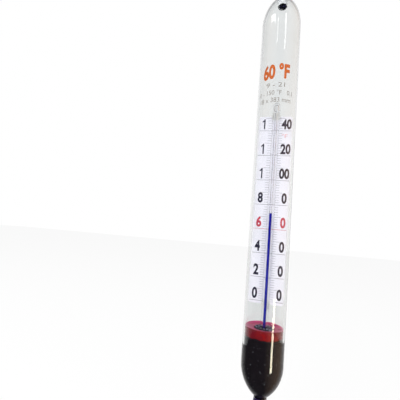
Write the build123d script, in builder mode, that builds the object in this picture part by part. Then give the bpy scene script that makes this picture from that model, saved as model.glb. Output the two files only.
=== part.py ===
from build123d import *
import os
from math import asin, atan2, cos, degrees, pi, radians, sin, sqrt

# Thermohydrometer, in millimetres. +Z is up, as it floats, and the origin is the lowest point
# of the thermometer bulb. Both scales face -Y.

# Thermometer bulb, which hangs below the float
bulb_od = 6.0
bulb_length = 27.0
bulb_wall = 0.5
neck_od = 5.5
neck_taper = 3.0
bulb_crown = 0.4

# Float: a thin glass tube drawn to a point below and to a shoulder above
body_od = 18.0
body_wall = 0.8
barrel_length = 156.0
ogive_arc = 16.9
neck_floor = 0.5
shoulder_arc = 20.0

# Stem
stem_od = 5.8
stem_wall = 0.5
stem_length = 171.5
stem_fillet = 2.4

# Thermometer tube, whose bore ends in a small chamber
capillary_od = 3.4
bore = 0.8
chamber_bore = 1.6
chamber_length = 3.0
chamber_cone = 1.0
capillary_crown = 1.3

# Thermometer scale, in degrees Fahrenheit: dyed spirit swells faster as it warms, so each
# degree is a little longer than the one below it
zero_above_neck = 38.6
first_degree = 0.512
degree_growth = 0.00035
scale_top_degrees = 150.0
rest_degrees = 72.5
headroom = 1.6

# Card behind the thermometer tube
card_foot = 1.2
card_head = 0.8
card_thickness = 0.3
card_corner = 1.0
cement_radius = 2.1
cement_depth = 0.9

# Liquid thread
thread_start_above_wax = 1.5
meniscus_height = 0.9
meniscus_dip = 0.15

# Ballast of steel grit in pitch, sealed by a ring of wax
wax_rim_above_neck = 28.4
wax_depth = 4.3
wax_dish = 0.8
wax_lip = 0.6
pool_radius = 4.4
grain = 0.85
grain_bevel = 0.24
grain_spacing = 1.25
first_grain_ring = 2.45
grain_ring_step = 1.1
grain_rings = 2
grain_turn = 37.0

# Rolled paper scale in the stem, and the wax that holds its lower end
paper = 0.12
paper_step = 0.17
roll_turn = 430.0
roll_points = 18
roll_below_stem = 4.6
roll_below_top = 12.0
plug_radius = 1.45
plug_height = 1.0
plug_side = 0.55
plug_recess = 0.3
bead_front = 0.45
big_bead = 1.1
big_bead_side = 0.9
big_bead_drop = 0.55
small_bead = 0.8
small_bead_side = 0.7
small_bead_drop = 0.35

# Clearances
wall_gap = 0.03
tube_gap = 0.02
thread_gap = 0.03
card_gap = 0.05
roll_gap = 0.03

# Radii
bulb_r = bulb_od / 2
neck_r = neck_od / 2
body_r = body_od / 2
body_in = body_r - body_wall
stem_r = stem_od / 2
stem_in = stem_r - stem_wall
capillary_r = capillary_od / 2
bore_r = bore / 2
thread_r = bore_r - thread_gap
sleeve_r = capillary_r + tube_gap


def arc_drop(arc, centre, reach):
    """How far below its widest place an arc about a point off the axis comes to a radius."""
    return sqrt(arc**2 - (reach - centre) ** 2)


def shoulder(dome_arc, fillet_arc, centre, tube_r):
    """Height of a dome and its fillet to a tube, and the angle at which the two arcs meet."""
    across = tube_r + fillet_arc - centre
    up = sqrt((dome_arc + fillet_arc) ** 2 - across**2)
    return up, degrees(atan2(up, across))


def mark_height(temperature):
    """Height of a temperature's mark above the zero mark."""
    return first_degree * temperature + degree_growth * temperature**2


# Heights
ogive_centre = body_r - ogive_arc
shoulder_centre = body_r - shoulder_arc
neck_z = bulb_length
barrel_z = neck_z + arc_drop(ogive_arc, ogive_centre, neck_r)
shoulder_z = barrel_z + barrel_length
shoulder_rise, shoulder_turn = shoulder(shoulder_arc, stem_fillet, shoulder_centre, stem_r)
stem_z = shoulder_z + shoulder_rise
stem_top = stem_z + stem_length
floor_z = neck_z + neck_floor
zero_z = neck_z + zero_above_neck
top_mark_z = zero_z + mark_height(scale_top_degrees)
rest_z = zero_z + mark_height(rest_degrees)
card_bottom = zero_z - card_foot
card_top = top_mark_z + card_head
rim_z = neck_z + wax_rim_above_neck
wax_bottom = rim_z - wax_depth
pool_z = rim_z - wax_dish - wax_lip / 2
thread_z = rim_z + thread_start_above_wax
chamber_z = top_mark_z + headroom
capillary_top = chamber_z + chamber_cone + chamber_length + capillary_crown
roll_bottom = stem_z - roll_below_stem
roll_top = stem_top - roll_below_top

os.makedirs("parts", exist_ok=True)

# Body shell: one wall that follows the ogive, the barrel and the shoulder
inner_dome = shoulder_arc - body_wall
inner_fillet = stem_fillet + body_wall
inner_rise, inner_turn = shoulder(inner_dome, inner_fillet, shoulder_centre, stem_in)
inner_bowl = ogive_arc - body_wall
outer_sweep = degrees(asin((barrel_z - neck_z) / ogive_arc))
inner_sweep = degrees(asin((barrel_z - floor_z) / inner_bowl))

with BuildPart() as body_shell:
    with BuildSketch(Plane.XZ):
        with BuildLine():
            ogive = CenterArc((ogive_centre, barrel_z), ogive_arc, 0, -outer_sweep)
            dome = CenterArc((shoulder_centre, shoulder_z), shoulder_arc, 0, shoulder_turn)
            neck_curve = CenterArc((stem_r + stem_fillet, stem_z), stem_fillet, 180, shoulder_turn)
            Line(ogive @ 0, dome @ 0)
            Line(neck_curve @ 0, (stem_in, stem_z))
            inside_z = shoulder_z + inner_rise
            Line((stem_in, stem_z), (stem_in, inside_z))
            CenterArc((stem_in + inner_fillet, inside_z), inner_fillet, 180, inner_turn)
            inner = CenterArc((shoulder_centre, shoulder_z), inner_dome, 0, inner_turn)
            bowl = CenterArc((ogive_centre, barrel_z), inner_bowl, 0, -inner_sweep)
            Line(inner @ 0, bowl @ 0)
            Polyline(bowl @ 1, (sleeve_r, floor_z), (sleeve_r, neck_z), ogive @ 1)
        make_face()
    revolve(axis=Axis.Z)
body_shell.part.label = "body_shell"
export_step(body_shell.part, "parts/body_shell.step")

# Stem tube, fused to the shoulder and closed by a round end
with BuildPart() as stem_tube:
    with BuildSketch(Plane.XZ):
        with BuildLine():
            round_z = stem_top - stem_r
            end = CenterArc((0, round_z), stem_r, 0, 90)
            hollow = CenterArc((0, round_z), stem_in, 0, 90)
            Line((stem_r, stem_z), end @ 0)
            Line(end @ 1, hollow @ 1)
            Line(hollow @ 0, (stem_in, stem_z))
            Line((stem_in, stem_z), (stem_r, stem_z))
        make_face()
    revolve(axis=Axis.Z)
stem_tube.part.label = "stem_tube"
export_step(stem_tube.part, "parts/stem_tube.step")

# Thermometer bulb: a thin round-ended flask whose crown closes on the bore
cavity_r = bulb_r - bulb_wall
cavity_neck = neck_r - bulb_wall
crown_z = neck_z - bulb_crown
taper_z = crown_z - neck_taper

with BuildPart() as thermometer_bulb:
    with BuildSketch(Plane.XZ):
        with BuildLine():
            base = CenterArc((0, bulb_r), bulb_r, -90, 90)
            Line(base @ 1, (bulb_r, taper_z))
            outside = Spline((bulb_r, taper_z), (neck_r, crown_z), tangents=((0, 1), (0, 1)))
            Polyline(outside @ 1, (neck_r, neck_z), (bore_r, neck_z), (bore_r, crown_z))
            Line((bore_r, crown_z), (cavity_neck, crown_z - bulb_crown))
            inside = Spline(
                (cavity_neck, crown_z - bulb_crown),
                (cavity_r, taper_z - bulb_crown),
                tangents=((0, -1), (0, -1)),
            )
            well = CenterArc((0, bulb_r), cavity_r, -90, 90)
            Line(inside @ 1, well @ 1)
            Line(well @ 0, base @ 0)
        make_face()
    revolve(axis=Axis.Z)
thermometer_bulb.part.label = "thermometer_bulb"
export_step(thermometer_bulb.part, "parts/thermometer_bulb.step")

# Capillary tube: the bore opens into a chamber near the round top
chamber_r = chamber_bore / 2
tube_round_z = capillary_top - capillary_r
chamber_end = chamber_z + chamber_cone + chamber_length

with BuildPart() as capillary_tube:
    with BuildSketch(Plane.XZ):
        with BuildLine():
            tip = CenterArc((0, tube_round_z), capillary_r, 0, 90)
            roof = CenterArc((0, chamber_end - chamber_r), chamber_r, 0, 90)
            Polyline(
                roof @ 0,
                (chamber_r, chamber_z + chamber_cone),
                (bore_r, chamber_z),
                (bore_r, neck_z),
                (capillary_r, neck_z),
                tip @ 0,
            )
            Line(tip @ 1, roof @ 1)
        make_face()
    revolve(axis=Axis.Z)
capillary_tube.part.label = "capillary_tube"
export_step(capillary_tube.part, "parts/capillary_tube.step")

# Liquid that stays put: the bulb's filling and the thread up to just above the wax
pond_r = cavity_r - thread_gap
pond_neck = cavity_neck - thread_gap
pond_crown = crown_z - thread_gap

with BuildPart() as bulb_liquid:
    with BuildSketch(Plane.XZ):
        with BuildLine():
            pool = CenterArc((0, bulb_r), pond_r, -90, 90)
            flank = Spline(
                (pond_r, taper_z - bulb_crown),
                (pond_neck, pond_crown - bulb_crown),
                tangents=((0, 1), (0, 1)),
            )
            Line(pool @ 1, flank @ 0)
            Polyline(
                flank @ 1,
                (thread_r, pond_crown),
                (thread_r, thread_z),
                (0, thread_z),
                pool @ 0,
            )
        make_face()
    revolve(axis=Axis.Z)
bulb_liquid.part.label = "bulb_liquid"
export_step(bulb_liquid.part, "parts/bulb_liquid.step")

# Liquid thread that grows and shrinks below the meniscus
meniscus_z = rest_z - meniscus_height

with BuildPart() as liquid_column:
    with BuildSketch(Plane.XY.offset(thread_z)):
        Circle(thread_r)
    extrude(amount=meniscus_z - thread_z)
liquid_column.part.label = "liquid_column"
export_step(liquid_column.part, "parts/liquid_column.step")

# Moving end of the thread, with the hollow top of a liquid that wets the glass
dip_arc = (thread_r**2 + meniscus_dip**2) / (2 * meniscus_dip)

with BuildPart() as column_meniscus:
    with BuildSketch(Plane.XZ):
        with BuildLine():
            hollow_top = RadiusArc((0, rest_z), (thread_r, rest_z + meniscus_dip), dip_arc)
            Polyline(hollow_top @ 1, (thread_r, meniscus_z), (0, meniscus_z), hollow_top @ 0)
        make_face()
    revolve(axis=Axis.Z)
column_meniscus.part.label = "column_meniscus"
export_step(column_meniscus.part, "parts/column_meniscus.step")

# Thermometer card: it stands against the back of the tube, wedged across the float
card_front = capillary_r + tube_gap
card_back = card_front + card_thickness
card_half = sqrt((body_in - card_gap) ** 2 - card_back**2)
card_height = card_top - card_bottom
card_middle = (card_top + card_bottom) / 2

with BuildPart() as thermometer_card:
    with BuildSketch(Plane.XZ.offset(-card_back)):
        with Locations((0, card_middle)):
            RectangleRounded(2 * card_half, card_height, card_corner)
    extrude(amount=card_thickness)
thermometer_card.part.label = "thermometer_card"
export_step(thermometer_card.part, "parts/thermometer_card.step")

# Cement: a dab at each end of the card, which ties it to the tube
with BuildPart() as card_cement:
    with BuildSketch(Plane.XZ.offset(-card_front)):
        with Locations((0, card_bottom), (0, card_top)):
            Circle(cement_radius)
    extrude(amount=cement_depth, taper=20)
    with BuildSketch(Plane.XY.offset(neck_z)):
        Circle(sleeve_r)
    extrude(amount=card_top + cement_radius - neck_z, mode=Mode.SUBTRACT)
card_cement.part.label = "card_cement"
export_step(card_cement.part, "parts/card_cement.step")

# Pitch and grit that weigh the float down, poured into its point round the tube
pitch_r = body_in - wall_gap
pitch_bowl = inner_bowl - wall_gap
pitch_sweep = degrees(asin((barrel_z - floor_z) / pitch_bowl))
lip_z = pool_z - wax_lip / 2

with BuildPart() as ballast_pitch:
    with BuildSketch(Plane.XZ):
        with BuildLine():
            keel = CenterArc((ogive_centre, barrel_z), pitch_bowl, 0, -pitch_sweep)
            Polyline(
                keel @ 0,
                (pitch_r, wax_bottom),
                (pool_radius, lip_z),
                (pool_radius, pool_z),
                (sleeve_r, pool_z),
                (sleeve_r, floor_z),
                keel @ 1,
            )
        make_face()
    revolve(axis=Axis.Z)
ballast_pitch.part.label = "ballast_pitch"
export_step(ballast_pitch.part, "parts/ballast_pitch.step")

# Grit: the grains that stick out of the pitch in the open middle of the wax
with BuildPart() as grit_grain:
    Box(grain, grain, grain, rotation=(0, 0, grain_turn))
    chamfer(grit_grain.edges(), grain_bevel)

with BuildPart() as ballast_grit:
    for ring in range(grain_rings):
        ring_r = first_grain_ring + ring * grain_ring_step
        grains = int(2 * pi * ring_r / grain_spacing)
        with Locations((0, 0, pool_z + grain / 2)):
            with PolarLocations(ring_r, grains, start_angle=ring * grain_turn):
                add(grit_grain.part)
ballast_grit.part.label = "ballast_grit"
export_step(ballast_grit.part, "parts/ballast_grit.step")

# Sealing wax: a ring that climbs the glass and thins towards the open middle
with BuildPart() as sealing_wax:
    with BuildSketch(Plane.XZ):
        with BuildLine():
            crest = (pitch_r, rim_z)
            lip = (pool_radius, lip_z + wax_lip)
            Spline(crest, lip, tangents=((-0.55, -1), (-1, -0.05)))
            Polyline(lip, (pool_radius, lip_z), (pitch_r, wax_bottom), crest)
        make_face()
    revolve(axis=Axis.Z)
sealing_wax.part.label = "sealing_wax"
export_step(sealing_wax.part, "parts/sealing_wax.step")

# Stem scale: a paper strip rolled a little past one turn, so that its edges overlap
roll_out = stem_in - roll_gap


def roll_line(outer_r):
    """Points on a slow spiral that starts at the back of the stem and winds inwards."""
    line = []
    for n in range(roll_points + 1):
        turn = roll_turn * n / roll_points
        radius = outer_r - paper_step * turn / 360
        line.append((radius * sin(radians(turn)), radius * cos(radians(turn))))
    return line


with BuildPart() as stem_scale_roll:
    with BuildSketch(Plane.XY.offset(roll_bottom)):
        with BuildLine():
            outer_line = Spline(*roll_line(roll_out))
            inner_line = Spline(*roll_line(roll_out - paper))
            Line(outer_line @ 0, inner_line @ 0)
            Line(outer_line @ 1, inner_line @ 1)
        make_face()
    extrude(amount=roll_top - roll_bottom)
stem_scale_roll.part.label = "stem_scale_roll"
export_step(stem_scale_roll.part, "parts/stem_scale_roll.step")

# Wax bead: two uneven drops under a plug that sticks to the right side of the roll's bore
with BuildPart() as stem_scale_wax:
    with Locations((big_bead_side, -bead_front, roll_bottom - big_bead_drop)):
        Sphere(big_bead)
    with Locations((-small_bead_side, -bead_front, roll_bottom - small_bead_drop)):
        Sphere(small_bead)
    with BuildSketch(Plane.XY.offset(roll_bottom + plug_recess)):
        with Locations((plug_side, 0)):
            Circle(plug_radius)
    extrude(amount=plug_height)
stem_scale_wax.part.label = "stem_scale_wax"
export_step(stem_scale_wax.part, "parts/stem_scale_wax.step")

print("total length", round(stem_top, 2), "stem starts at", round(stem_z, 2))
print("zero mark", round(zero_z, 2), "top mark", round(top_mark_z, 2), "rest", round(rest_z, 2))
print("thread from", round(thread_z, 2), "to", round(meniscus_z, 2), "wax rim", round(rim_z, 2))
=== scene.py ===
"""Finishes the packed thermohydrometer for a studio picture: clear drawn glass, blue spirit, a
printed card, a printed paper roll, wax and weighted pitch. Everything is in metres, in the
frame's own axes: +Z up the stem, both scales facing -Y."""

from math import atan2, cos, pi, radians, sin

import bmesh
import bpy
from bpy.props import FloatProperty, FloatVectorProperty, IntProperty, PointerProperty
from mathutils import Matrix, Vector


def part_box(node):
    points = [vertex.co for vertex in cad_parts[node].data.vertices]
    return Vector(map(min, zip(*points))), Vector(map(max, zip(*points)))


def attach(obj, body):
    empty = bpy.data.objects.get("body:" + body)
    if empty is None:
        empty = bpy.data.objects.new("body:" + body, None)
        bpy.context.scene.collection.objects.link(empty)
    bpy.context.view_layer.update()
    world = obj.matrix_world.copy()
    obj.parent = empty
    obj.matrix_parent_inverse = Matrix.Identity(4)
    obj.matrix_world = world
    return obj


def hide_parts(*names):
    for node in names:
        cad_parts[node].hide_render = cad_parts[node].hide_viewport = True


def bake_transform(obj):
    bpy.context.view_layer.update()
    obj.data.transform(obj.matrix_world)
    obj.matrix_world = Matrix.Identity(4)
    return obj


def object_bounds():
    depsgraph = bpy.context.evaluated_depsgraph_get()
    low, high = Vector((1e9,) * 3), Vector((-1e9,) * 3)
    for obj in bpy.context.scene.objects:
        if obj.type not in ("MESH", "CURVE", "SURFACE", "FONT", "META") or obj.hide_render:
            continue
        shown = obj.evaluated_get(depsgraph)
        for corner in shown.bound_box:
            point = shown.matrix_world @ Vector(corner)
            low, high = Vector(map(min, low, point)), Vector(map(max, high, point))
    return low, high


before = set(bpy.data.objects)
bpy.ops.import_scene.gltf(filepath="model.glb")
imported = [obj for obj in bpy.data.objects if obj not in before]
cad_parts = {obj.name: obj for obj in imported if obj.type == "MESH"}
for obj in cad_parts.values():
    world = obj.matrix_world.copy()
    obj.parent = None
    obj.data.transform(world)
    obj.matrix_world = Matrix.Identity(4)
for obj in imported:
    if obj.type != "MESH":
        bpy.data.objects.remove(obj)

bl_info = {
    "name": "Thermohydrometer",
    "version": (1, 0, 0),
    "blender": (4, 5, 0),
    "location": "View3D > Sidebar > Instrument",
    "description": "Glass, spirit, scales, wax and ballast of a thermohydrometer",
    "category": "Object",
}

MM = 0.001
FRAME_LOW, FRAME_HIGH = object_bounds()
BOX = {node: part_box(node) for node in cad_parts}

FIXED = "instrument"

# Thickness of the print, and how far its underside stands off the surface it is on
INK = 0.006 * MM
INK_LIFT = 0.002 * MM

# How far a piece that wets the glass grows, to close the frame's clearance, and how much
# more the thread does
WETTING = 0.035 * MM
THREAD_FIT = 0.005 * MM

# Corners this near are joined, and a cut counts corners as lying on it within the second
WELD = 0.001 * MM
CUT_REACH = 1e-9

# Angle between two faces past which the edge between them stays sharp
SHARP = radians(40)

# Rings added below the top of a piece whose contact with the glass ends at a ragged line
CONTACT_RINGS = 26
CONTACT_STEP = 0.4 * MM

# The contact line stays level up to the first angle on each side of the front, and drops over
# the second
CONTACT_FRONT = radians(36)
CONTACT_TURN = radians(16)

# Waves that make the contact line ragged: height, number round the float, and start
CONTACT_WAVES = ((0.35 * MM, 7, 1.0), (0.25 * MM, 13, 2.0), (0.15 * MM, 23, 0.0))

# Rings across the hollow on top of the thread, as shares of the bore
DIP_RINGS = (0.8, 0.5, 0.0)

# Outline of a figure 1 with its flag, as shares of its height
FIGURE_ONE = (
    (0.06, 0.0),
    (0.06, 1.0),
    (-0.03, 1.0),
    (-0.10, 0.88),
    (-0.22, 0.80),
    (-0.22, 0.68),
    (-0.14, 0.70),
    (-0.06, 0.77),
    (-0.06, 0.0),
)

# Straight steps in each curve of a figure, and how much the strokes are thickened
LETTER_STEPS = 5
CARD_WEIGHT = 0.04
STEM_WEIGHT = 0.03
ENAMEL_WEIGHT = 0.045

# Width of the strips that marks are cut into before they are bent round a tube
STEM_STRIP = 0.22 * MM
FLOAT_STRIP = 0.7 * MM

# Degrees between two figures of the thermometer, and between two longer lines
FIGURE_DEGREES = 20
LONGER_DEGREES = 10

# Unit beside the thermometer's scale: right of the axis, its temperature, height and width
UNIT_PLACE = 4.4 * MM
UNIT_DEGREES = 134.3
UNIT_HEIGHT = 1.9 * MM
UNIT_WIDTH = 2.6 * MM

# Share of the light on the paper roll that passes through it
ROLL_THINNESS = 0.12

# Places round the paper roll, in degrees clockwise from its seam: the column on its back, the
# line that the scale starts from, and the ends of its short, half and whole degree lines
BACK_COLUMN = 38
SPINE = 72
FINE_END = 98
HALF_END = 132
WHOLE_END = 352

# Back of the paper roll: degrees of the scale below the first figures, and between two of them
BACK_START = 0.6
BACK_STEP = 1.3
BACK_REPEATS = 3

# Enamel: the large figures and their width, and each row of small ones with its drop below
# the large figures' foot and its width
LARGE_FIGURES = "60 °F"
LARGE_WIDTH = 12.4 * MM
SMALL_ROWS = (
    ("9 - 21", 3.9 * MM, 8.5 * MM),
    ("0 - 150 °F   0.1", 7.5 * MM, 16.0 * MM),
    ("18 x 383 mm", 11.0 * MM, 14.5 * MM),
)

# What a wall of glass lets through of the lamps' light
LAMP_TINT = (0.97, 0.975, 0.975)

# Middle of the float, which the lamps face
FLOAT_MIDDLE = (0.0, 0.0, 0.12)

# Soft lamps: the place and the size of each
KEY_LAMP = (-0.42, -0.62, 0.62), (0.5, 0.5)
FILL_LAMP = (0.62, -0.45, 0.30), (0.45, 0.6)

# Lamps that only the glass reflects: degrees right of the front, distance from the axis,
# height and size
STRIP = 47, 0.10, 22.5 * MM, (18 * MM, 59 * MM)
STRIP_SHADE = (1.0, 0.93, 0.71)
PATCHES = {
    "right_patch": (26, 0.40, 0.475, (0.055, 0.075)),
    "middle_patch": (-20, 0.33, 0.425, (0.02, 0.045)),
    "left_patch": (-50, 0.35, 0.494, (0.17, 0.075)),
}

WHITE = (1.0, 1.0, 1.0)

# Backdrop as the glass mirrors it, and as it shows through the glass, at the left and right
MIRRORED_BACK = (0.95, 0.95, 0.95)
LEFT_BACK = (0.95, 0.95, 0.95)
RIGHT_BACK = (0.98, 0.98, 0.98)

# Floor: its two shades, the share of it that glows to the eye, the strength of that glow
# through glass, and the share kept where the glass mirrors the floor on the reader's side
FLOOR_PALE = (0.95, 0.95, 0.95)
FLOOR_DULL = (0.93, 0.93, 0.93)
FLOOR_GLOW = 0.9
GLOW_THROUGH_GLASS = 0.87
MIRRORED_GLOW = 0.15

# Camera: width of its sensor in millimetres, and the nearest distance that it sees
SENSOR_WIDTH = 36.0
NEAREST = 1.0 * MM

# How often light may bounce, and how many clear surfaces it may pass
BOUNCES = 20
CLEAR_BOUNCES = 24


def length(name, millimetres, description):
    """A size for the sidebar, given here in millimetres."""
    return FloatProperty(
        name=name, description=description, default=millimetres * MM, unit="LENGTH", precision=5
    )


def colour(name, default, description):
    """A colour for the sidebar, in linear light."""
    return FloatVectorProperty(
        name=name, description=description, default=default, subtype="COLOR", min=0.0, max=1.0
    )


def number(name, default, description):
    """A plain number for the sidebar."""
    return FloatProperty(name=name, description=description, default=default)


class GlassSettings(bpy.types.PropertyGroup):
    """Clear glass of the float, the stem and the thermometer."""

    tint: colour("Tint", (0.945, 0.958, 0.958), "Colour that the glass gives to light through it")
    core_tint: colour("Thermometer tint", (0.98, 0.98, 0.99), "Tint of the thermometer's glass")
    index: number("Refractive index", 1.47, "Refractive index of the glass")
    wave_depth: length("Wave depth", 0.004, "Depth of the drawing waves in the glass")
    wave_width: length("Wave width", 2.6, "Width of a drawing wave, across the glass")


class SpiritSettings(bpy.types.PropertyGroup):
    """Dyed spirit of the thermometer."""

    dye: colour("Dye", (0.008, 0.009, 0.38), "Colour of the spirit")
    # Painted shade: the spirit's colour in and just above the ballast, darker than the dye
    deep: colour("Dye in painted shade", (0.012, 0.004, 0.045), "Colour of the spirit inside the ballast")
    dip: length("Meniscus dip", 0.15, "Depth of the hollow on top of the thread")
    sides: IntProperty(name="Sides", description="Sides of the round thread", default=28)
    rings: IntProperty(name="Rings", description="Rings along the thread", default=64)


class CardSettings(bpy.types.PropertyGroup):
    """Thermometer card, and the temperature scale printed on it."""

    paper: colour("Card", (0.885, 0.865, 0.965), "Colour of the card")
    black: colour("Black ink", (0.007, 0.005, 0.030), "Ink of the figures")
    grey: colour("Line ink", (0.20, 0.20, 0.24), "Ink of the lines")
    red: colour("Red ink", (0.55, 0.045, 0.085), "Ink of the reference temperature")
    pink: colour("Unit ink", (0.78, 0.33, 0.36), "Ink of the unit")
    cement: colour("Cement", (0.84, 0.84, 0.85), "Cement that ties the card to the thermometer")
    cement_dull: colour("Dull cement", (0.72, 0.71, 0.69), "Duller patches of the cement")
    zero: length("Zero above card's foot", 1.2, "Height of the zero line above the card's foot")
    degree: length("First degree", 0.512, "Length of the lowest degree")
    growth: length("Growth", 0.00035, "How much a degree grows by each degree below it")
    highest: IntProperty(name="Highest", description="Highest temperature", default=150)
    step: IntProperty(name="Step", description="Degrees between two fine lines", default=2)
    reference: IntProperty(name="Reference", description="Temperature in red", default=60)
    figure_height: length("Figure height", 4.95, "Height of the figures")
    figure_width: length("Figure width", 2.4, "Width of one figure")
    figure_rise: length("Figure rise", 0.75, "Foot of the figures above their line")
    left_figure: length("Left figure", 5.15, "Left figure's middle from the axis")
    right_figure: length("Right figure", 5.7, "Single right figure's middle from the axis")
    inner_figure: length("Inner figure", 4.0, "Inner one of two right figures from the axis")
    outer_figure: length("Outer figure", 6.35, "Outer one of two right figures from the axis")
    line: length("Line width", 0.13, "Width of the fine lines")
    long_line: length("Long line width", 0.17, "Width of the lines under the figures")
    fine_reach: length("Fine reach", 3.3, "Ends of the fine lines from the axis")
    ten_reach: length("Ten reach", 4.6, "Ends of the ten degree lines from the axis")
    line_start: length("Line start", 0.6, "Inner ends of the lines from the axis")
    margin: length("Margin", 0.35, "Card's edge to the ends of the long lines")


class StemSettings(bpy.types.PropertyGroup):
    """Paper roll in the stem, and the density scale printed on it."""

    paper: colour("Paper", (0.96, 0.97, 1.0), "Colour of the paper")
    lowest: IntProperty(name="Lowest", description="Lowest degree, at the bottom", default=9)
    highest: IntProperty(name="Highest", description="Highest degree, at the top", default=21)
    first_line: length("First line", 14.9, "Lowest line above the roll's foot")
    degree: length("Degree", 12.217, "Length of one degree")
    parts: IntProperty(name="Parts", description="Fine divisions in a degree", default=10)
    figure_height: length("Figure height", 4.1, "Height of the figures")
    figure_width: length("Figure width", 1.65, "Width of one figure")
    figure_pitch: length("Figure pitch", 1.95, "Distance between two figures of a number")
    figure_rise: length("Figure rise", 0.55, "Foot of the figures above their line")
    figure_shift: length("Figure shift", -0.25, "Figures' middle right of the front")
    line: length("Line width", 0.15, "Width of the degree lines")
    fine_line: length("Fine line width", 0.11, "Width of the fine lines")
    back_height: length("Back figure height", 2.1, "Height of the figures on the back")


class BallastSettings(bpy.types.PropertyGroup):
    """Pitch, grit and sealing wax at the bottom of the float, and the bead in the stem."""

    pitch: colour("Pitch", (0.004, 0.003, 0.005), "Colour of the pitch")
    clump: colour("Pitch clumps", (0.010, 0.007, 0.009), "Paler clumps of the pitch")
    speck: colour("Specks", (0.12, 0.14, 0.15), "Grit that shows in the pitch")
    wax: colour("Wax", (0.28, 0.002, 0.002), "Wax where it lies on the glass")
    # Painted shade: the colour of the wax's side towards the left, also used in cloudy patches
    wax_shade: colour("Wax in shade", (0.15, 0.003, 0.010), "Wax in painted shade at the left, also in cloudy patches")
    wax_top: colour("Wax on top", (0.37, 0.016, 0.085), "Upper face of the wax")
    wax_rim: colour("Wax rim", (0.57, 0.09, 0.22), "Thin edge of the wax against the glass")
    bead: colour("Bead", (0.003, 0.003, 0.012), "Bead that holds the paper roll")
    # Partly the bare steel's own colour, partly a painted bluish highlight on the grains' faces
    steel: colour("Grit", (0.26, 0.28, 0.40), "Loose grains on top of the pitch")
    wet_steel: colour("Wet grit", (0.018, 0.010, 0.022), "Grains where pitch wets them")
    speck_size: length("Speck size", 1.1, "Distance between specks in the pitch")
    blend: length("Ragged edge", 1.0, "How far the edge between wax and pitch wanders")
    front_drop: length("Front drop", 0.6, "Wax rim to where the glass is wetted, at the front")
    left_drop: length("Left drop", 7.0, "Further drop of that line at the left side")
    right_drop: length("Right drop", 3.5, "Further drop of that line at the right side")


class EnamelSettings(bpy.types.PropertyGroup):
    """Fired print on the outside of the float."""

    orange: colour("Orange enamel", (0.42, 0.085, 0.010), "Enamel of the large figures")
    grey: colour("Grey enamel", (0.20, 0.18, 0.16), "Enamel of the small figures")
    large_height: length("Large height", 7.4, "Height of the large figures")
    small_height: length("Small height", 2.2, "Height of the small figures")
    height: length("Height", 168.4, "Middle of the large figures above the bulb's tip")
    shift: length("Shift", -1.1, "Middle of the print, right of the front")


class StageSettings(bpy.types.PropertyGroup):
    """Camera, floor, lamps and surroundings."""

    lens: length("Lens", 26.9, "Focal length on a 36 mm wide sensor")
    place: FloatVectorProperty(
        name="Camera",
        description="Place of the camera",
        default=(0.0, -139.21 * MM, 92.87 * MM),
        subtype="TRANSLATION",
        unit="LENGTH",
    )
    yaw: FloatProperty(
        name="Yaw", description="Turn to the left", default=radians(13.494), unit="ROTATION"
    )
    pitch: FloatProperty(
        name="Pitch", description="Tilt upwards", default=radians(6.419), unit="ROTATION"
    )
    roll: FloatProperty(
        name="Roll", description="Roll of the camera", default=radians(4.828), unit="ROTATION"
    )
    floor: length("Floor", 6000.0, "Side of the square floor")
    dim_side: colour("Dim side", (0.04, 0.04, 0.05), "What the glass reflects of the left side")
    warm_side: colour("Bright side", (0.85, 0.60, 0.42), "What it reflects of the right side")
    ambient: number("Ambient", 0.52, "Light from all sides")
    key: number("Key lamp", 6.8, "Power of the soft lamp above the front, in watts")
    fill: number("Fill lamp", 3.3, "Power of the soft lamp at the right, in watts")
    glare: number("Strip brightness", 20.5, "Brightness of the low strip that the glass reflects")
    sheen: number("Patch brightness", 7.0, "Brightness of the high patches that the glass reflects")


def settings(group):
    """The scene's settings of one group."""
    return getattr(bpy.context.scene, "instrument_" + group)


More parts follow.
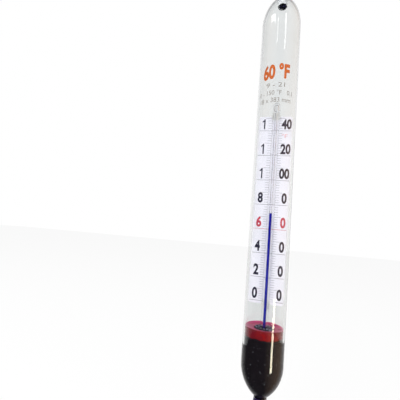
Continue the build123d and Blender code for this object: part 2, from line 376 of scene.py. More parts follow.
class Finish:
    """A material being mixed: a Principled shader, and nodes that vary it over the surface."""

    def __init__(self, name, **sockets):
        self.material = bpy.data.materials.new(name)
        self.material.use_nodes = True
        self.nodes = self.material.node_tree.nodes
        self.links = self.material.node_tree.links
        self.shader = self.nodes["Principled BSDF"]
        self.output = self.nodes["Material Output"]
        self.place = self.add("ShaderNodeTexCoord").outputs["Object"]
        for name, value in sockets.items():
            socket = self.shader.inputs[name.replace("_", " ")]
            socket.default_value = (*value, 1.0) if hasattr(value, "__len__") else value

    def add(self, kind, sources=(), **values):
        """A node with its properties set, and its inputs linked or given by name or place."""
        node = self.nodes.new(kind)
        for name, value in values.items():
            setattr(node, name, value)
        for socket, value in dict(sources).items():
            self.feed(node.inputs[socket], value)
        return node

    def feed(self, socket, value):
        """Links an output to a socket, or sets the socket's own value."""
        if isinstance(value, bpy.types.NodeSocket):
            self.links.new(value, socket)
        elif hasattr(value, "__len__") and len(socket.default_value) > len(value):
            socket.default_value = (*value, 1.0)
        else:
            socket.default_value = value

    def noise(self, size, detail=3.0, stretch=(1.0, 1.0, 1.0), offset=0.0):
        """Cloudy variation whose patches are about that size, longer where stretch is more."""
        scale = tuple(1.0 / s for s in stretch)
        mapping = self.add(
            "ShaderNodeMapping", {"Vector": self.place, "Location": (offset,) * 3, "Scale": scale}
        )
        sources = {"Vector": mapping.outputs[0], "Scale": 1.0 / size, "Detail": detail}
        return self.add("ShaderNodeTexNoise", sources).outputs[0]

    def grains(self, size):
        """Distance from the middle of scattered grains."""
        sources = {"Vector": self.place, "Scale": 1.0 / size}
        return self.add("ShaderNodeTexVoronoi", sources).outputs["Distance"]

    def spread(self, value, low, high, to_low=0.0, to_high=1.0):
        """A value moved from one range to another, and held inside it."""
        sources = {0: value, 1: low, 2: high, 3: to_low, 4: to_high}
        return self.add("ShaderNodeMapRange", sources).outputs[0]

    def math(self, operation, first, second=0.0):
        """One step of arithmetic."""
        return self.add("ShaderNodeMath", {0: first, 1: second}, operation=operation).outputs[0]

    def vector(self, operation, first, second=(0.0, 0.0, 0.0)):
        """One step of arithmetic on places."""
        sources = {0: first, 1: second}
        return self.add("ShaderNodeVectorMath", sources, operation=operation).outputs[0]

    def blend(self, factor, first, second):
        """One colour that turns into another."""
        sources = {"Factor": factor, 6: first, 7: second}
        return self.add("ShaderNodeMix", sources, data_type="RGBA").outputs[2]

    def coordinate(self, axis):
        """The surface's place along one axis of the frame."""
        return self.add("ShaderNodeSeparateXYZ", {0: self.place}).outputs[axis]

    def facing_up(self):
        """How far the surface faces up."""
        normal = self.add("ShaderNodeNewGeometry").outputs["Normal"]
        return self.add("ShaderNodeSeparateXYZ", {0: normal}).outputs["Z"]

    def paint(self, value):
        """Gives the shader its colour."""
        self.feed(self.shader.inputs["Base Color"], value)

    def roughen(self, value, low, high):
        """Gives the shader a roughness between two values."""
        self.feed(self.shader.inputs["Roughness"], self.spread(value, 0.25, 0.75, low, high))

    def emboss(self, value, depth):
        """Gives the surface relief of that depth."""
        sources = {"Height": value, "Distance": depth, "Strength": 1.0}
        bump = self.add("ShaderNodeBump", sources)
        self.links.new(bump.outputs[0], self.shader.inputs["Normal"])


class WorldFinish(Finish):
    """The same node helpers, for the surroundings."""

    def __init__(self, world):
        self.nodes = world.node_tree.nodes
        self.links = world.node_tree.links
        self.place = self.add("ShaderNodeTexCoord").outputs["Generated"]


def let_lamps_through(finish, tint):
    """Glass that keeps its look, but passes the lamps' light straight on to what is inside."""
    path = finish.add("ShaderNodeLightPath")
    clear = finish.add("ShaderNodeBsdfTransparent", {"Color": tint})
    mix = finish.add(
        "ShaderNodeMixShader",
        {0: path.outputs["Is Shadow Ray"], 1: finish.shader.outputs[0], 2: clear.outputs[0]},
    )
    finish.links.new(mix.outputs[0], finish.output.inputs["Surface"])


def drawn_glass(name, tint, size):
    """Clear glass with the faint long waves of a drawn tube."""
    glass = settings("glass")
    finish = Finish(
        name,
        Base_Color=tint,
        Transmission_Weight=1.0,
        Roughness=0.0,
        IOR=glass.index,
    )
    waves = finish.noise(glass.wave_width * size, detail=1.0, stretch=(1.0, 1.0, 14.0))
    finish.emboss(waves, depth=glass.wave_depth * size)
    let_lamps_through(finish, LAMP_TINT)
    return finish.material


def blue_spirit():
    """Dark dyed spirit that shines where it wets the glass, painted darker as shade in and just
    above the ballast.
    """
    spirit = settings("spirit")
    finish = Finish("blue_spirit", Roughness=0.12, IOR=1.36, Coat_Weight=0.3)
    streaks = finish.noise(1.4 * MM, detail=2.0, stretch=(1.0, 1.0, 6.0))
    rim = BOX["sealing_wax"][1].z
    # Painted shade: the spirit darkens from 3 mm above the wax rim down to 1.5 mm below it
    unshaded_share = finish.spread(finish.coordinate("Z"), rim - 1.5 * MM, rim + 3.0 * MM)
    dye = finish.blend(streaks, spirit.dye, tuple(c * 0.72 for c in spirit.dye))
    finish.paint(finish.blend(unshaded_share, spirit.deep, dye))
    finish.emboss(streaks, depth=0.01 * MM)
    return finish.material


def fibrous(name, base, fibre, thinness=0.0):
    """Paper or card: short fibres, faint mottling, a dull surface, and light through it where
    it is thin."""
    finish = Finish(name, IOR=1.45, Sheen_Weight=0.05)
    fibres = finish.noise(fibre, detail=6.0, stretch=(3.0, 1.0, 1.0))
    mottle = finish.noise(4.5 * MM, offset=0.3)
    warm = (base[0] * 0.985, base[1] * 0.985, base[2] * 0.96)
    mottled = finish.blend(mottle, base, warm)
    dark = tuple(c * 0.95 for c in base)
    finish.paint(finish.blend(finish.spread(fibres, 0.5, 0.85), mottled, dark))
    finish.roughen(fibres, low=0.62, high=0.78)
    finish.emboss(fibres, depth=0.02 * MM)
    if thinness:
        light = finish.add("ShaderNodeBsdfTranslucent", {"Color": mottled})
        both = {0: thinness, 1: finish.shader.outputs[0], 2: light.outputs[0]}
        mix = finish.add("ShaderNodeMixShader", both)
        finish.links.new(mix.outputs[0], finish.output.inputs["Surface"])
    return finish.material


def printed(name, ink, wear=0.1):
    """Ink with the slight unevenness of print on a dull surface."""
    finish = Finish(name, IOR=1.45)
    patches = finish.noise(0.35 * MM, detail=4.0)
    thin = tuple(c + (0.5 - c) * wear for c in ink)
    finish.paint(finish.blend(finish.spread(patches, 0.52, 0.8), ink, thin))
    finish.roughen(patches, low=0.45, high=0.6)
    finish.emboss(patches, depth=0.004 * MM)
    return finish.material


def dull_cement():
    """White cement, rough and a little chalky."""
    card = settings("card")
    finish = Finish("white_cement", IOR=1.5)
    lumps = finish.noise(0.6 * MM, detail=5.0)
    finish.paint(finish.blend(lumps, card.cement, card.cement_dull))
    finish.roughen(lumps, low=0.7, high=0.9)
    finish.emboss(lumps, depth=0.12 * MM)
    return finish.material


def ragged_edge(finish, height, wander):
    """Nought below a level that wanders, one above it."""
    drips = finish.noise(5.0 * MM, detail=2.0, offset=0.7)
    level = finish.math("MULTIPLY_ADD", drips, wander * 2)
    level.node.inputs[2].default_value = height - wander
    rise = finish.math("SUBTRACT", finish.coordinate("Z"), level)
    return finish.spread(rise, -0.25 * MM, 0.25 * MM)


def black_pitch():
    """Pitch pressed against the glass, with grit in it that catches the light."""
    ballast = settings("ballast")
    finish = Finish("black_pitch", IOR=1.55, Specular_IOR_Level=0.06)
    clumps = finish.noise(1.6 * MM, detail=4.0)
    specks = finish.spread(finish.grains(ballast.speck_size), 0.26, 0.12)
    few = finish.math("MULTIPLY", specks, finish.spread(clumps, 0.54, 0.60))
    dark = finish.blend(clumps, ballast.pitch, ballast.clump)
    finish.paint(finish.blend(few, dark, ballast.speck))
    finish.roughen(clumps, low=0.25, high=0.5)
    finish.emboss(clumps, depth=0.08 * MM)
    return finish.material


def red_wax():
    """Sealing wax: bright red in cloudy patches, in painted shade towards the left side, and dark
    where it thins over the pitch.
    """
    ballast = settings("ballast")
    finish = Finish(
        "red_wax",
        IOR=1.45,
        Specular_IOR_Level=0.2,
        Subsurface_Weight=0.1,
        Subsurface_Scale=0.4 * MM,
    )
    clouds = finish.noise(3.2 * MM, offset=0.2)
    cloud_share = finish.spread(clouds, 0.38, 0.62)
    # Painted shade: the side takes the shade colour towards the left, fully from 4.5 mm left of the
    # axis
    across = finish.spread(finish.coordinate("X"), -4.5 * MM, 0.5 * MM)
    side = finish.blend(finish.math("MULTIPLY", cloud_share, across), ballast.wax_shade, ballast.wax)
    foot, rim = (corner.z for corner in BOX["sealing_wax"])
    above = ragged_edge(finish, foot + 0.8 * MM, ballast.blend)
    side = finish.blend(above, ballast.pitch, side)
    top = finish.blend(cloud_share, tuple(c * 0.55 for c in ballast.wax_top), ballast.wax_top)
    climb = finish.spread(finish.coordinate("Z"), rim - 1.1 * MM, rim - 0.1 * MM)
    top = finish.blend(climb, top, ballast.wax_rim)
    finish.paint(finish.blend(finish.spread(finish.facing_up(), 0.15, 0.5), side, top))
    finish.roughen(clouds, low=0.22, high=0.4)
    finish.emboss(finish.noise(1.1 * MM), depth=0.12 * MM)
    return finish.material


def steel_grit():
    """Dark steel grains wetted by pitch, with bright faces: bare steel, painted pale and bluish as
    a highlight.
    """
    ballast = settings("ballast")
    finish = Finish("steel_grit", Metallic=0.3, IOR=1.8)
    faces = finish.noise(0.45 * MM, detail=4.0)
    # Painted highlight: patches of the grains' faces take the pale bluish grit colour
    glint_faces = finish.spread(faces, 0.5, 0.62)
    finish.paint(finish.blend(glint_faces, ballast.wet_steel, ballast.steel))
    finish.roughen(faces, low=0.2, high=0.45)
    finish.emboss(faces, depth=0.1 * MM)
    return finish.material


def stem_bead():
    """Black wax that ran and set in the foot of the paper roll."""
    ballast = settings("ballast")
    finish = Finish("stem_bead", IOR=1.5, Specular_IOR_Level=0.05)
    runs = finish.noise(0.8 * MM)
    finish.paint(finish.blend(runs, ballast.bead, tuple(c * 2.5 for c in ballast.bead)))
    finish.roughen(runs, low=0.4, high=0.6)
    finish.emboss(runs, depth=0.08 * MM)
    return finish.material


def dress(material, *nodes):
    """Gives CAD nodes a material."""
    for node in nodes:
        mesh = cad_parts[node].data
        mesh.materials.clear()
        mesh.materials.append(material)


def new_piece(name, mesh, material):
    """A new object of this mesh, with its material."""
    piece = bpy.data.objects.new(name, mesh)
    bpy.context.scene.collection.objects.link(piece)
    mesh.materials.clear()
    mesh.materials.append(material)
    return piece


def wetting(node, name, material, contact=None):
    """A copy of a CAD node, grown until it touches the glass, which stands for the node.
    Where contact gives the height of a contact line, it lets go of the glass above that."""
    grown = bmesh.new()
    grown.from_mesh(node.data)
    bmesh.ops.remove_doubles(grown, verts=grown.verts, dist=WELD)
    if contact:
        top = max(vertex.co.z for vertex in grown.verts)
        for n in range(CONTACT_RINGS):
            everything = [*grown.verts, *grown.edges, *grown.faces]
            level = top - (n + 0.5) * CONTACT_STEP
            bmesh.ops.bisect_plane(
                grown,
                geom=everything,
                dist=CUT_REACH,
                plane_co=(0.0, 0.0, level),
                plane_no=(0.0, 0.0, 1.0),
            )
    bmesh.ops.recalc_face_normals(grown, faces=grown.faces)
    grown.normal_update()
    for vertex in grown.verts:
        growth = WETTING
        if contact:
            below = (contact(atan2(vertex.co.y, vertex.co.x)) - vertex.co.z) / CONTACT_STEP
            growth *= min(max(below, 0.0), 1.0)
        vertex.co += vertex.normal * growth
    mesh = bpy.data.meshes.new(name)
    grown.to_mesh(mesh)
    grown.free()
    mesh.shade_smooth()
    mesh.set_sharp_from_angle(angle=SHARP)
    piece = new_piece(name, mesh, material)
    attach(piece, FIXED)
    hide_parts(node.name)


class Print:
    """Marks drawn flat: u to the reader's right, v up the instrument and w off the surface."""

    def __init__(self):
        self.marks = bmesh.new()

    def bar(self, left, right, v, width):
        """A level stroke."""
        middle = Vector(((left + right) / 2, v, 0.0))
        size = Vector((right - left, width, INK))
        bmesh.ops.create_cube(
            self.marks, size=1.0, matrix=Matrix.LocRotScale(middle, None, size)
        )

    def one(self, u, v, height):
        """A figure 1 with a flag, which the plain typeface draws as a bare bar."""
        corners = [(u + x * height, v + y * height, -INK / 2) for x, y in FIGURE_ONE]
        face = self.marks.faces.new([self.marks.verts.new(corner) for corner in corners])
        raised = bmesh.ops.extrude_face_region(self.marks, geom=[face], use_keep_orig=True)
        for part in raised["geom"]:
            if isinstance(part, bmesh.types.BMVert):
                part.co.z += INK

    def words(self, text, u, v, height, width=None, weight=0.0, turned=False):
        """Text of that height and width, with its foot at v, or turned to read upwards."""
        curve = bpy.data.curves.new("words", "FONT")
        curve.body = text
        curve.offset = weight
        curve.extrude = 0.5
        curve.resolution_u = LETTER_STEPS
        writer = bpy.data.objects.new("words", curve)
        bpy.context.scene.collection.objects.link(writer)
        bpy.context.view_layer.update()
        flat = bpy.data.meshes.new_from_object(writer)
        bpy.data.objects.remove(writer)
        corners = [p.co.copy() for p in flat.vertices]
        low = Vector(min(c[axis] for c in corners) for axis in range(3))
        high = Vector(max(c[axis] for c in corners) for axis in range(3))
        size = high - low
        rise = height / size.y
        across = width / size.x if width else rise
        flat.transform(Matrix.Translation((-(low.x + high.x) / 2, -low.y, 0.0)))
        flat.transform(Matrix.Diagonal((across, rise, INK / size.z, 1.0)))
        if turned:
            flat.transform(Matrix.Translation((0.0, -height / 2, 0.0)))
            flat.transform(Matrix.Rotation(pi / 2, 4, "Z"))
        flat.transform(Matrix.Translation((u, v, 0.0)))
        self.marks.from_mesh(flat)
        bpy.data.meshes.remove(flat)
        bpy.data.curves.remove(curve)

    def slice(self, width):
        """Cuts the marks into strips, so that they bend round a tube."""
        reach = max(abs(v.co.x) for v in self.marks.verts)
        for n in range(-int(reach / width), int(reach / width) + 1):
            everything = [*self.marks.verts, *self.marks.edges, *self.marks.faces]
            bmesh.ops.bisect_plane(
                self.marks,
                geom=everything,
                dist=CUT_REACH,
                plane_co=(n * width, 0.0, 0.0),
                plane_no=(1.0, 0.0, 0.0),
            )

    def lay(self, name, where, material, slot):
        """Lays the marks on a surface, as one piece that rides on the instrument."""
        bmesh.ops.remove_doubles(self.marks, verts=self.marks.verts, dist=INK * 0.1)
        for vertex in self.marks.verts:
            vertex.co = where(vertex.co.x, vertex.co.y, vertex.co.z + INK / 2 + INK_LIFT)
        mesh = bpy.data.meshes.new(name)
        self.marks.to_mesh(mesh)
        self.marks.free()
        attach(new_piece(name, mesh, material), FIXED)


def on_card(u, v, w):
    """A place on the card's front."""
    return Vector((u, BOX["thermometer_card"][0].y - w, v))


def on_float(u, v, w):
    """A place on the float's barrel."""
    radius = BOX["body_shell"][1].x
    turn = u / radius
    return Vector(((radius + w) * sin(turn), -(radius + w) * cos(turn), v))


def on_roll(u, v, w):
    """A place on the paper roll, whose outer face winds inwards from the seam at the back."""
    low, high = BOX["stem_scale_roll"]
    step = 2 * (high.y + low.y)
    turn = pi - u / -low.y
    radius = high.y - step * turn / (2 * pi) + w
    return Vector((radius * sin(turn), radius * cos(turn), v))


def round_turn(degrees):
    """Distance right of the front for a place that many degrees clockwise from the seam."""
    return radians(180 - degrees) * -BOX["stem_scale_roll"][0].y


class GlassOperator(bpy.types.Operator):
    """Finish the glass of the float, the stem and the thermometer"""

    bl_idname = "instrument.glass"
    bl_label = "Glass"

    def execute(self, context):
        glass = settings("glass")
        dress(drawn_glass("float_glass", glass.tint, 1.0), "body_shell")
        dress(drawn_glass("stem_glass", glass.tint, 0.6), "stem_tube")
        core = drawn_glass("thermometer_glass", glass.core_tint, 0.4)
        dress(core, "capillary_tube", "thermometer_bulb")
        return {"FINISHED"}


class SpiritOperator(bpy.types.Operator):
    """Fill the bulb and the bore with spirit that wets the glass"""

    bl_idname = "instrument.spirit"
    bl_label = "Spirit"

    def execute(self, context):
        material = blue_spirit()
        wetting(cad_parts["bulb_liquid"], "spirit_pool", material)
        self.thread(material)
        return {"FINISHED"}

    def thread(self, material):
        """The thread in the bore, turned from a profile with rings along it and a hollow on top."""
        spirit = settings("spirit")
        bore = BOX["liquid_column"][1].x + WETTING + THREAD_FIT
        foot = BOX["capillary_tube"][0].z
        neck = BOX["column_meniscus"][0].z
        top = BOX["column_meniscus"][1].z
        heights = [foot + (neck - foot) * n / spirit.rings for n in range(spirit.rings + 1)]
        profile = [(0.0, foot)] + [(bore, z) for z in heights] + [(bore, top)]
        for inward in DIP_RINGS:
            profile.append((bore * inward, top - spirit.dip * (1 - inward**2)))
        mesh = bpy.data.meshes.new("spirit_thread")
        turned = bmesh.new()
        line = [turned.verts.new((r, 0.0, z)) for r, z in profile]
        edges = [turned.edges.new(pair) for pair in zip(line, line[1:])]
        bmesh.ops.spin(
            turned,
            geom=line + edges,
            axis=(0, 0, 1),
            cent=(0, 0, 0),
            angle=2 * pi,
            steps=spirit.sides,
            use_merge=True,
        )
        bmesh.ops.remove_doubles(turned, verts=turned.verts, dist=WELD)
        bmesh.ops.recalc_face_normals(turned, faces=turned.faces)
        turned.to_mesh(mesh)
        turned.free()
        mesh.shade_smooth()
        piece = new_piece("spirit_thread", mesh, material)
        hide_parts("liquid_column", "column_meniscus")
        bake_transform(piece)


class CardOperator(bpy.types.Operator):
    """Finish the thermometer card and print its scale"""

    bl_idname = "instrument.card"
    bl_label = "Thermometer card"

    def execute(self, context):
        card = settings("card")
        dress(fibrous("scale_card", card.paper, 0.25 * MM), "thermometer_card")
        dress(dull_cement(), "card_cement")
        black, red = Print(), Print()
        lines, red_lines = Print(), Print()
        for degrees in range(0, card.highest + 1, card.step):
            special = degrees == card.reference
            self.line(red_lines if special else lines, degrees)
            if degrees % FIGURE_DEGREES == 0:
                self.figures(red if special else black, degrees)
        unit = Print()
        unit.words("°F", UNIT_PLACE, self.height(UNIT_DEGREES), UNIT_HEIGHT, UNIT_WIDTH)
        for ink, name, material in (
            (black, "card_figures", printed("card_black", card.black, wear=0.03)),
            (red, "card_red_figures", printed("card_red", card.red)),
            (lines, "card_lines", printed("card_grey", card.grey)),
            (red_lines, "card_red_line", printed("card_red_line", card.red)),
            (unit, "card_unit", printed("card_pink", card.pink)),
        ):
            ink.lay(name, on_card, material, "scale_card")
        return {"FINISHED"}

    def height(self, degrees):
        """Height of a temperature's line."""
        card = settings("card")
        zero = BOX["thermometer_card"][0].z + card.zero
        return zero + card.degree * degrees + card.growth * degrees**2

    def line(self, ink, degrees):
        """One temperature's line: across the card, or a short pair beside the bore."""
        card = settings("card")
        v = self.height(degrees)
        edge = BOX["thermometer_card"][1].x - card.margin
        if degrees % FIGURE_DEGREES == 0:
            ink.bar(-edge, edge, v, card.long_line)
            return
        reach = card.ten_reach if degrees % LONGER_DEGREES == 0 else card.fine_reach
        for side in (-1, 1):
            ends = sorted((side * card.line_start, side * reach))
            ink.bar(*ends, v, card.line)

    def figures(self, ink, degrees):
        """One temperature's figures, with the thermometer between them."""
        card = settings("card")
        text = str(degrees) if degrees else "00"
        foot = self.height(degrees) + card.figure_rise
        size = card.figure_height, card.figure_width
        places = [-card.left_figure, card.right_figure]
        if len(text) == 3:
            places = [-card.left_figure, card.inner_figure, card.outer_figure]
        for figure, u in zip(text, places):
            if figure == "1":
                ink.one(u, foot, card.figure_height)
            else:
                ink.words(figure, u, foot, *size, weight=CARD_WEIGHT)


class StemOperator(bpy.types.Operator):
    """Finish the paper roll in the stem and print its scale"""

    bl_idname = "instrument.stem"
    bl_label = "Stem scale"

    def execute(self, context):
        stem = settings("stem")
        card = settings("card")
        dress(fibrous("scale_paper", stem.paper, 0.2 * MM, ROLL_THINNESS), "stem_scale_roll")
        dress(stem_bead(), "stem_scale_wax")
        lines, figures = Print(), Print()
        degrees = stem.highest - stem.lowest
        for n in range(degrees * stem.parts + 1):
            self.line(lines, n)
        for n in range(degrees + 1):
            self.figure(figures, n)
        self.back(figures)
        foot, head = self.height(0), self.height(degrees)
        spine = round_turn(SPINE)
        lines.bar(spine, spine + stem.fine_line, (foot + head) / 2, head - foot)
        grey = printed("stem_grey", card.grey)
        for ink, name, material in (
            (lines, "stem_lines", grey),
            (figures, "stem_figures", printed("stem_black", card.black, wear=0.03)),
        ):
            ink.slice(STEM_STRIP)
            ink.lay(name, on_roll, material, "scale_paper")
        return {"FINISHED"}

    def height(self, degrees):
        """Height of a line that many degrees above the lowest."""
        stem = settings("stem")
        return BOX["stem_scale_roll"][0].z + stem.first_line + stem.degree * degrees

    def line(self, ink, n):
        """One line of the scale: round the stem, half way to the front, or short."""
        stem = settings("stem")
        end, width = FINE_END, stem.fine_line
        if n % stem.parts == 0:
            end, width = WHOLE_END, stem.line
        elif 2 * n % stem.parts == 0:
            end = HALF_END
        ink.bar(round_turn(end), round_turn(SPINE), self.height(n / stem.parts), width)

    def figure(self, ink, n):
        """The figure over one whole degree's line."""
        stem = settings("stem")
        text = str(stem.lowest + n)
        foot = self.height(n) + stem.figure_rise
        size = stem.figure_height, stem.figure_width
        for place, figure in enumerate(text):
            u = stem.figure_shift + (place - (len(text) - 1) / 2) * stem.figure_pitch
            if figure == "1":
                ink.one(u, foot, stem.figure_height)
            else:
                ink.words(figure, u, foot, *size, weight=STEM_WEIGHT)

    def back(self, ink):
        """The bold column beside the seam, which reads upwards."""
        stem = settings("stem")
        column = ("60 °F", "0.1", f"{stem.lowest} - {stem.highest}")
        u = round_turn(BACK_COLUMN)
        for n, text in enumerate(column * BACK_REPEATS):
            v = self.height(BACK_START + BACK_STEP * n)
            ink.words(text, u, v, stem.back_height, weight=STEM_WEIGHT, turned=True)


class BallastOperator(bpy.types.Operator):
    """Finish the pitch, the grit and the sealing wax"""

    bl_idname = "instrument.ballast"
    bl_label = "Ballast"

    def execute(self, context):
        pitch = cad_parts["ballast_pitch"]
        wetting(pitch, "pitch_fill", black_pitch(), self.contact)
        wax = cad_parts["sealing_wax"]
        wetting(wax, "wax_fill", red_wax(), self.contact)
        dress(steel_grit(), "ballast_grit")
        return {"FINISHED"}

    def contact(self, turn):
        """Height at which wax and pitch let go of the glass: high at the front, low at the
        sides, and ragged all the way round."""
        ballast = settings("ballast")
        aside = (turn + pi / 2 + pi) % (2 * pi) - pi
        share = min(max((abs(aside) - CONTACT_FRONT) / CONTACT_TURN, 0.0), 1.0)
        drop = ballast.left_drop if aside < 0 else ballast.right_drop
        wander = sum(size * sin(count * turn + start) for size, count, start in CONTACT_WAVES)
        return BOX["sealing_wax"][1].z - ballast.front_drop - share * drop + wander


class EnamelOperator(bpy.types.Operator):
    """Print plain figures on the outside of the float"""

    bl_idname = "instrument.enamel"
    bl_label = "Enamel"

    def execute(self, context):
        enamel = settings("enamel")
        large, small = Print(), Print()
        foot = enamel.height - enamel.large_height / 2
        size = enamel.large_height, LARGE_WIDTH
        large.words(LARGE_FIGURES, enamel.shift, foot, *size, weight=ENAMEL_WEIGHT)
        for text, drop, width in SMALL_ROWS:
            small.words(text, enamel.shift, foot - drop, enamel.small_height, width)
        for ink, name, shade in (
            (large, "float_large_figures", enamel.orange),
            (small, "float_small_figures", enamel.grey),
        ):
            ink.slice(FLOAT_STRIP)
            ink.lay(name, on_float, printed(name + "_enamel", shade), "clear_glass")
        return {"FINISHED"}


class StageOperator(bpy.types.Operator):
    """Set the camera, the floor, the lamps and the surroundings"""

    bl_idname = "instrument.stage"
    bl_label = "Stage"

    def execute(self, context):
        self.camera()
        self.floor()
        self.surroundings()
        self.lamps()
        context.scene.view_settings.view_transform = "Standard"
        context.scene.cycles.max_bounces = BOUNCES
        context.scene.cycles.transmission_bounces = BOUNCES
        context.scene.cycles.transparent_max_bounces = CLEAR_BOUNCES
        return {"FINISHED"}

    def camera(self):
        """The photograph's place and angle."""
        stage = settings("stage")
        yaw, pitch, roll = -stage.yaw, stage.pitch, stage.roll
        ahead = Vector((sin(yaw) * cos(pitch), cos(yaw) * cos(pitch), sin(pitch)))
        right = Vector((cos(yaw), -sin(yaw), 0.0))
        up = right.cross(ahead)
        rolled_right = cos(roll) * right + sin(roll) * up
        rolled_up = -sin(roll) * right + cos(roll) * up
        data = bpy.data.cameras.new("camera")
        data.sensor_width = SENSOR_WIDTH
        data.lens = stage.lens / MM
        data.clip_start = NEAREST
        camera = bpy.data.objects.new("camera", data)
        axes = Matrix((rolled_right, rolled_up, -ahead)).transposed()
        camera.matrix_world = Matrix.Translation(stage.place) @ axes.to_4x4()
        bpy.context.scene.collection.objects.link(camera)
        bpy.context.scene.camera = camera

    def floor(self):
        """A pale floor that is white to the eye and keeps the instrument's shadow."""
        stage = settings("stage")
        half = stage.floor / 2
        sheet = bmesh.new()
        corners = ((-half, -half), (half, -half), (half, half), (-half, half))
        sheet.faces.new([sheet.verts.new((x, y, FRAME_LOW.z)) for x, y in corners])
        mesh = bpy.data.meshes.new("floor")
        sheet.to_mesh(mesh)
        sheet.free()
        floor = bpy.data.objects.new("floor", mesh)
        bpy.context.scene.collection.objects.link(floor)
        finish = Finish("floor", Roughness=0.9, Specular_IOR_Level=0.1)
        grain = finish.noise(3.0 * MM, detail=4.0)
        finish.paint(finish.blend(grain, FLOOR_PALE, FLOOR_DULL))
        finish.emboss(grain, depth=0.02 * MM)
        path = finish.add("ShaderNodeLightPath").outputs
        level = finish.spread(path["Is Transmission Ray"], 0.0, 1.0, 1.0, GLOW_THROUGH_GLASS)
        from_float = finish.vector("SUBTRACT", finish.place, FLOAT_MIDDLE)
        bearing = finish.vector("NORMALIZE", from_float)
        depth = finish.add("ShaderNodeSeparateXYZ", {0: bearing}).outputs["Y"]
        mirrored = finish.math("GREATER_THAN", path["Glossy Depth"], 0.5)
        mirrored = finish.math("MULTIPLY", mirrored, finish.spread(depth, 0.2, -0.3))
        kept = finish.spread(mirrored, 0.0, 1.0, 1.0, MIRRORED_GLOW)
        strength = finish.math("MULTIPLY", level, kept)
        glow = finish.add("ShaderNodeEmission", {"Strength": strength})
        share = finish.math("MULTIPLY", self.seen_directly(finish), FLOOR_GLOW)
        mix = finish.add(
            "ShaderNodeMixShader", {0: share, 1: finish.shader.outputs[0], 2: glow.outputs[0]}
        )
        finish.links.new(mix.outputs[0], finish.output.inputs["Surface"])
        mesh.materials.append(finish.material)
        floor.visible_glossy = False

    def seen_directly(self, finish):
        """One for rays from the eye, also through glass or by a reflection, before any dull
        surface, and nought for the rest."""
        path = finish.add("ShaderNodeLightPath").outputs
        straight = finish.math("MAXIMUM", path["Is Camera Ray"], path["Is Glossy Ray"])
        straight = finish.math("MAXIMUM", straight, path["Is Transmission Ray"])
        first = finish.math("LESS_THAN", path["Diffuse Depth"], 0.5)
        return finish.math("MULTIPLY", straight, first)

    def surroundings(self):
        """White behind the instrument, with a dim left and a warm right for reflections."""
        stage = settings("stage")
        world = bpy.data.worlds.new("surroundings")
        bpy.context.scene.world = world
        world.use_nodes = True
        mixer = WorldFinish(world)
        ways = mixer.add("ShaderNodeSeparateXYZ", {0: mixer.place}).outputs
        path = mixer.add("ShaderNodeLightPath").outputs
        right = mixer.spread(ways["X"], 0.2, 0.95)
        behind = mixer.spread(ways["Y"], 0.1, 0.8)
        reflected = mixer.blend(right, stage.dim_side, stage.warm_side)
        reflected = mixer.blend(behind, reflected, MIRRORED_BACK)
        through = mixer.blend(mixer.spread(ways["X"], -0.6, 0.1), LEFT_BACK, RIGHT_BACK)
        mirrored = mixer.math("GREATER_THAN", path["Glossy Depth"], 0.5)
        through = mixer.blend(mirrored, through, reflected)
        level = mixer.blend(path["Is Glossy Ray"], WHITE, reflected)
        level = mixer.blend(path["Is Transmission Ray"], level, through)
        level = mixer.blend(self.seen_directly(mixer), (stage.ambient,) * 3, level)
        back = mixer.nodes["Background"]
        back.inputs["Strength"].default_value = 1.0
        mixer.links.new(level, back.inputs["Color"])

    def lamps(self):
        """Two soft lamps for the surfaces, and strips that only the glass reflects."""
        stage = settings("stage")
        for name, (place, size), power in (
            ("key", KEY_LAMP, stage.key),
            ("fill", FILL_LAMP, stage.fill),
        ):
            lamp = self.lamp(name, place, Vector(FLOAT_MIDDLE), size, power)
            lamp.visible_glossy = False
        self.strip("strip", *STRIP, STRIP_SHADE, stage.glare)
        for name, patch in PATCHES.items():
            self.strip(name, *patch, WHITE, stage.sheen)

    def lamp(self, name, place, target, size, power):
        """An area lamp that points at a target."""
        data = bpy.data.lights.new(name, "AREA")
        data.shape = "RECTANGLE"
        data.size, data.size_y = size
        data.energy = power
        lamp = bpy.data.objects.new(name, data)
        lamp.location = place
        lamp.rotation_mode = "QUATERNION"
        lamp.rotation_quaternion = (target - Vector(place)).to_track_quat("-Z", "Y")
        bpy.context.scene.collection.objects.link(lamp)
        lamp.visible_camera = False
        lamp.visible_transmission = False
        return lamp

    def strip(self, name, degrees, distance, height, size, shade, brightness):
        """A lamp that faces the axis, shows in reflections and lights nothing else."""
        turn = radians(degrees)
        place = (distance * sin(turn), -distance * cos(turn), height)
        power = brightness * pi * size[0] * size[1]
        lamp = self.lamp(name, place, Vector((0.0, 0.0, height)), size, power)
        lamp.data.color = shade
        lamp.visible_diffuse = False


class InstrumentPanel(bpy.types.Panel):
    """Lists the pieces of the instrument and their settings"""

    bl_idname = "VIEW3D_PT_instrument"
    bl_label = "Thermohydrometer"
    bl_space_type = "VIEW_3D"
    bl_region_type = "UI"
    bl_category = "Instrument"

    def draw(self, context):
        for operator in OPERATORS:
            self.layout.operator(operator.bl_idname)
        for group in GROUPS:
            box = self.layout.box()
            box.label(text=group.__doc__)
            values = settings(GROUPS[group])
            for name in group.__annotations__:
                box.prop(values, name)


GROUPS = {
    GlassSettings: "glass",
    SpiritSettings: "spirit",
    CardSettings: "card",
    StemSettings: "stem",
    BallastSettings: "ballast",
    EnamelSettings: "enamel",
    StageSettings: "stage",
}
OPERATORS = (
    GlassOperator,
    SpiritOperator,
    CardOperator,
    StemOperator,
    BallastOperator,
    EnamelOperator,
    StageOperator,
)


def register():
    for group, name in GROUPS.items():
        bpy.utils.register_class(group)
        setattr(bpy.types.Scene, "instrument_" + name, PointerProperty(type=group))
    for operator in OPERATORS:
        bpy.utils.register_class(operator)
    bpy.utils.register_class(InstrumentPanel)


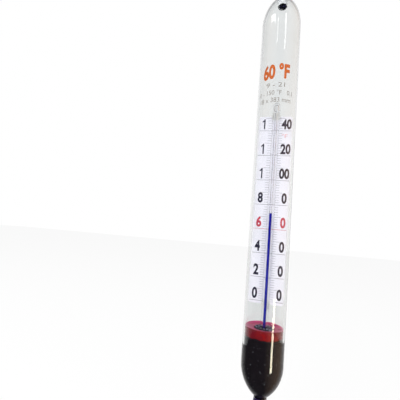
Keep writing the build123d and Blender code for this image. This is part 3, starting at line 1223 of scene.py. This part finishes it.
def unregister():
    bpy.utils.unregister_class(InstrumentPanel)
    for operator in reversed(OPERATORS):
        bpy.utils.unregister_class(operator)
    for group, name in GROUPS.items():
        delattr(bpy.types.Scene, "instrument_" + name)
        bpy.utils.unregister_class(group)


def main():
    """Makes every piece in order."""
    register()
    bpy.ops.instrument.glass()
    bpy.ops.instrument.spirit()
    bpy.ops.instrument.card()
    bpy.ops.instrument.stem()
    bpy.ops.instrument.ballast()
    bpy.ops.instrument.enamel()
    bpy.ops.instrument.stage()


if __name__ == "__main__":
    main()
